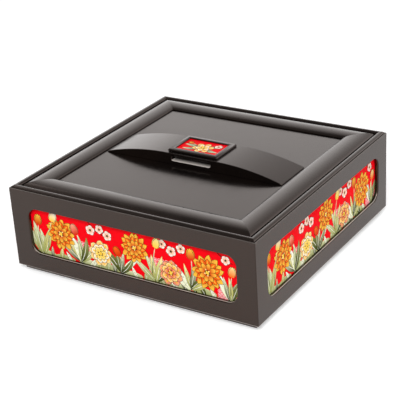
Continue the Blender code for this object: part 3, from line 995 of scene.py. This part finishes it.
red_felt = felt_skin("red_felt", felt_shade, felt_glow, felt_fibre)
board("base_plate", "base_board", inner_lacquer, "box", "black_lacquer", base_edge)
board("base_felt", "base_lining", red_felt, "box", "red_felt", felt_edge)


# Liner boards and tray runners
# Thin boards stand inside the sides, mitred in the corners. The lid sits on their rounded tops,
# and a hardwood runner on the left and right ones carries the tray.
liner_round = 0.8 * mm

bm = square_strip("liner_front", liner_round, 1.0)
four_sides("liner_board", bm, inner_lacquer, "box", "black_lacquer", "liner")
for side in ("left", "right"):
    board(f"runner_{side}", f"tray_runner_{side}", inner_lacquer, "box", "black_lacquer", liner_round)


# Lift-out tray
# A thin floor carries four mitred walls with rounded tops. The left and right walls are notched
# for the fingers, red felt lines the floor, and slim dividers stand on the felt.
notch_half_length = 30 * mm
notch_depth = 10 * mm
notch_corner = 6 * mm
notch_shoulder = 2.5 * mm
tray_wall_round = 1.2 * mm
divider_round = 1.0 * mm

board("tray_base", "tray_floor", inner_lacquer, "tray", "black_lacquer", base_edge)
low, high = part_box("tray_wall_front")
wide = high.y - low.y
tall = high.z - low.z
to_notch = high.x - notch_half_length
notch_moves = (
    (to_notch, 0), (0, -notch_depth), (2 * notch_half_length, 0), (0, notch_depth), (to_notch, 0),
)
for sides, moves in ((("front", "back"), ((2 * high.x, 0),)), (("right", "left"), notch_moves)):
    bm = bmesh.new()
    outline = trace(bm, (-high.y, low.x, low.z), (0, tall), *moves, (0, -tall))
    run_along(bm, outline, wide)
    for height, turn in ((high.z - notch_depth, notch_corner), (high.z, notch_shoulder)):
        level = edges_where(bm.edges, lambda co: abs(co.z - height) < hairline and abs(co.y) < to_notch)
        across = [e for e in level if x_run(e) > wide / 2]
        if across:
            round_edges(bm, across, turn, corner_steps)
    upper = edges_where(sharp_edges(bm), lambda co: co.z > high.z - notch_depth - hairline)
    round_edges(bm, [e for e in upper if x_run(e) < hairline], tray_wall_round, 4)
    bmesh.ops.rotate(bm, verts=bm.verts[:], matrix=Matrix.Rotation(-math.pi / 2, 3, "Z"))
    mitre(bm)
    four_sides("tray_side", bm, inner_lacquer, "tray", "black_lacquer", "tray_wall", sides)

board("tray_felt", "tray_lining", red_felt, "tray", "red_felt", felt_edge)
for kind in ("long", "front_1", "front_2", "back_1"):
    board(f"tray_slat_{kind}", f"tray_divider_{kind}", inner_lacquer, "tray", "black_lacquer",
          divider_round)


# Lid mouldings
# Four strips frame the lid, cushioned on top over a plain shoulder outside. They are mitred,
# and a rabbet under their inner lip holds the panel.
moulding_steps = 24
outer_shoulder = 4.6 * mm
inner_lip = 0.5 * mm

low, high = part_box("lid_moulding_front")
panel_low, panel_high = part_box("lid_panel")
half_wide = (high.y - low.y) / 2
outer_spring = Vector((low.x, (low.y + high.y) / 2, high.z - outer_shoulder))
gap = 0.3 * mm
panel_seat = panel_high.z + gap
inner_spring = panel_seat + inner_lip
rabbet_wall = panel_low.y - gap

bm = bmesh.new()
start = bm.verts.new(outer_spring - Vector((0, half_wide, 0)))
arc = swung(bm, start, outer_spring, -math.pi, moulding_steps)
outer_arc = arc[:moulding_steps // 2]
inner_arc = arc[moulding_steps // 2:]
for part, rise in ((outer_arc, outer_shoulder), (inner_arc, high.z - inner_spring)):
    bmesh.ops.scale(bm, verts=part, vec=(1, 1, rise / half_wide), space=Matrix.Translation(-outer_spring))
bmesh.ops.translate(bm, verts=inner_arc, vec=(0, 0, inner_spring - outer_spring.z))
under = carry_on(bm, arc[-1], (0, -inner_lip), (rabbet_wall - high.y, 0), (0, low.z - panel_seat),
                 (low.y - rabbet_wall, 0))
run_along(bm, arc + under, high.x - low.x)
mitre(bm)
four_sides("moulding_strip", bm, outer_lacquer, "lid", "black_lacquer", "lid_moulding")


# Lid panel and its lining
# A flat lacquered board fills the mouldings' frame, held in their rabbets, with red felt glued
# under it. Its upper edge is eased, so that a fine line shows all round it.
panel_edge = 0.7 * mm
touch = 0.01 * mm

bm = bmesh.new()
bm.from_mesh(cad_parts["lid_panel"].data)
weld(bm, bm.verts[:])
bmesh.ops.dissolve_limit(bm, angle_limit=math.radians(1), verts=bm.verts[:], edges=bm.edges[:])
on_top = edges_where(bm.edges, lambda co: abs(co.z - panel_high.z) < touch)
outer = edges_where(on_top, lambda co: max(abs(co.x), abs(co.y)) > panel_high.x - touch)
round_edges(bm, outer, panel_edge)
finish_piece("lid_board", bm, outer_lacquer, "lid", "black_lacquer", "lid_panel")
board("lid_felt", "lid_lining", red_felt, "lid", "red_felt", felt_edge)


# Handle arch
# One solid piece spans the lid like a low bridge: level in the middle, with a long even curve
# down to a thin toe at each end. A slot for the fingertips is cut into its front and back.
crown_half = 30 * mm
toe_height = 0.7 * mm
arch_steps = 28
arch_edge = 0.45 * mm
groove_half = 23 * mm
groove_foot = 95.5 * mm
groove_top = 100.3 * mm
groove_depth = 9 * mm
groove_flare = 0.9 * mm
flare_steps = 6
# Where a pale highlight is painted into the colour along the groove's lower sill.
groove_highlight_height = 0.6 * mm
groove_highlight_depths = (0.1 * mm, 1.5 * mm)
handle_crease = 50

arch_low, arch_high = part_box("handle_arch")


def groove_shape(grow, depth):
    """The groove's outline at a depth, with nearly half-round ends."""
    corner = (groove_top - groove_foot) / 2 + grow - touch
    return (groove_half + grow, groove_foot - grow, groove_top + grow, corner, depth)


def carve(piece, cutters):
    """Cut shapes out of a mesh object for good, and delete the cutters."""
    for cutter in cutters:
        cut = piece.modifiers.new("cut", "BOOLEAN")
        cut.operation = "DIFFERENCE"
        cut.solver = "EXACT"
        cut.object = cutter
    bpy.context.view_layer.update()
    carved = bpy.data.meshes.new_from_object(piece.evaluated_get(bpy.context.evaluated_depsgraph_get()))
    for thing in (piece, *cutters):
        mesh = thing.data
        bpy.data.objects.remove(thing)
        bpy.data.meshes.remove(mesh)
    return carved


bm = bmesh.new()
run = arch_high.x - crown_half
drop = arch_high.z - arch_low.z - toe_height
arch_radius = (run ** 2 + drop ** 2) / (2 * drop)
start = bm.verts.new((crown_half, arch_low.y, arch_high.z))
centre = start.co - Vector((0, 0, arch_radius))
toe = swung(bm, start, centre, math.asin(run / arch_radius), arch_steps, (0, 1, 0))[-1]
heel = carry_on(bm, toe, (0, -toe_height))[0]
foot_middle = carry_on(bm, heel, (0, 0))[0]
foot_middle.co.x = 0
bmesh.ops.mirror(bm, geom=bm.verts[:] + bm.edges[:], axis="X", merge_dist=weld_reach)
bm.edges.new([v for v in bm.verts if len(v.link_edges) == 1])
bmesh.ops.dissolve_verts(bm, verts=[v for v in bm.verts if abs(v.co.x) < touch])
face = bmesh.ops.contextual_create(bm, geom=bm.edges[:])["faces"]
thicken(bm, face, (0, arch_high.y - arch_low.y, 0))
bmesh.ops.recalc_face_normals(bm, faces=bm.faces[:])
middle_of_toe = arch_low.z + toe_height / 2
round_edges(bm, [e for e in sharp_edges(bm) if (e.verts[0].co + e.verts[1].co).z / 2 > middle_of_toe],
            arch_edge, 4)
arch = add_object("arch_block", take_mesh("arch_block", bm))

flare_shapes = [groove_shape(groove_flare, -1 * mm)]
flare_shapes += [groove_shape(*opening) for opening in rolled_edge(groove_flare, flare_steps)]
flare_shapes += [groove_shape(0, groove_depth)]
cutters = []
for turned in (0, math.pi):
    bm = bmesh.new()
    drag_rings(bm, flare_shapes, Matrix.Rotation(turned, 4, "Z") @ Matrix.Translation((0, arch_low.y, 0)))
    cutters.append(add_object("groove_cutter", take_mesh("groove_cutter", bm)))
carved = carve(arch, cutters)
# A point value paints a pale highlight into the colour along the groove's lower sill.
painted_highlight = carved.attributes.new("painted_highlight", "FLOAT", "POINT")
for vert in carved.vertices:
    depth = arch_high.y - abs(vert.co.y)
    on_sill = groove_foot - groove_flare < vert.co.z < groove_foot + groove_highlight_height
    if on_sill and abs(vert.co.x) < groove_half + groove_flare:
        if groove_highlight_depths[0] < depth < groove_highlight_depths[1]:
            painted_highlight.data[vert.index].value = 1.0
finish_mesh("bridge_handle", carved, outer_lacquer, "lid", "black_lacquer", "handle_arch",
            crease=handle_crease)


# Handle screws
# Two slotted round-head screws of bright steel hold the handle. They come up through the lid's
# panel into it, with their heads sunk into the panel's underside.
steel = (0.55, 0.53, 0.50)
scuff_scale = 1600.0

bright_steel, tree = new_skin("bright_steel")
scuffs = noise(tree, piece_place(tree), scuff_scale)
finish_surface(tree, {
    "Base Color": steel,
    "Metallic": 1.0,
    "Roughness": map_range(tree, scuffs, 0.3, 0.7, 0.25, 0.45),
})
for side in ("left", "right"):
    redress(f"handle_screw_{side}", bright_steel)


# Tile frame
# A small frame of cushioned bars, like the lid's mouldings in small, stands on the handle's crown.
# Its mitred bars are rebated underneath to take the picture.
tile_bar = 5.5 * mm
tile_lip = 1.4 * mm
tile_lap = 1.5 * mm
tile_crown = 3.9 * mm
tile_rise = 1.3 * mm
tile_inner_rise = 0.8 * mm
tile_steps = 12
tile_soft = 0.15 * mm

low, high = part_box("tile_frame")
half_x = high.x
half_y = high.y
bm = bmesh.new()
size = Matrix.Diagonal((half_x, half_y, 1, 1))
bmesh.ops.create_grid(bm, x_segments=1, y_segments=1, size=1,
                      matrix=Matrix.Translation((0, 0, low.z)) @ size)
bmesh.ops.delete(bm, geom=bm.faces[:], context="FACES_ONLY")
stations = [(0, low.z)]
for step in range(tile_steps + 1):
    angle = math.pi * step / tile_steps
    outside = angle < math.pi / 2
    wide, rise = (tile_crown, tile_rise) if outside else (tile_bar - tile_crown, tile_inner_rise)
    stations.append((tile_crown - wide * math.cos(angle), high.z - rise * (1 - math.sin(angle))))
lap = tile_bar - tile_lap
stations += [(tile_bar, high.z - tile_lip), (lap, high.z - tile_lip), (lap, low.z), (0, low.z)]
edges = bm.edges[:]
for (old_inset, _), (inset, height) in zip(stations, stations[1:]):
    moved, edges = pull_edges(bm, edges)
    shrink_x = (half_x - inset) / (half_x - old_inset)
    shrink_y = (half_y - inset) / (half_y - old_inset)
    bmesh.ops.transform(bm, matrix=Matrix.Diagonal((shrink_x, shrink_y, 1, 1)), verts=moved)
    bmesh.ops.translate(bm, verts=moved, vec=(0, 0, height - moved[0].co.z))
weld(bm, bm.verts[:])
bmesh.ops.recalc_face_normals(bm, faces=bm.faces[:])
round_edges(bm, edges_where(sharp_edges(bm), lambda co: co.z < high.z - tile_rise / 2), tile_soft, 2)
finish_piece("tile_surround", bm, outer_lacquer, "lid", "black_lacquer", "tile_frame")


# Tile picture
# A small piece of the same kind of print lies under the frame's lip: one open blossom with its
# leaves on red, in inks that stand a little above the ground.
tile_low, tile_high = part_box("tile_picture")
petal_rings = ((6, 1.0, warm_orange, cream), (5, 0.62, gold, chalk_white))
tile_art = fresh_ink()
bm = fresh_ink()
for u, v, heading, length, width, turn in (
    (-3, -2, 2.7, 19, 5.5, 0.5), (-2, -4, 3.6, 18, 5, -0.5), (4, -3, -0.5, 18, 5.5, 0.6),
    (4, 1, 0.5, 17, 5, -0.5),
):
    leaf(bm, (u * mm, v * mm), heading, length * mm, width * mm, (olive_green, pale_green),
         (20 + leaf_rise * abs(u)) * ink_step, turn)
small_blossom(bm, (15 * mm, 7 * mm), 4.2 * mm, 0.4)
tulip(bm, (-6 * mm, 1 * mm), 2.5, 8 * mm, 0.3, 7 * mm, deep_orange, gold)
lay_on(tile_art, bm)
flower(tile_art, (1 * mm, -1 * mm), 11 * mm, petal_rings, 0.62, 1.5, 0.65, 0.2, 0.3)
printed_panel(tile_art, tile_low, tile_high, Matrix.Translation((0, 0, tile_high.z)))
finish_piece("tile_print", tile_art, picture_print, "lid", "red_picture", "tile_picture")
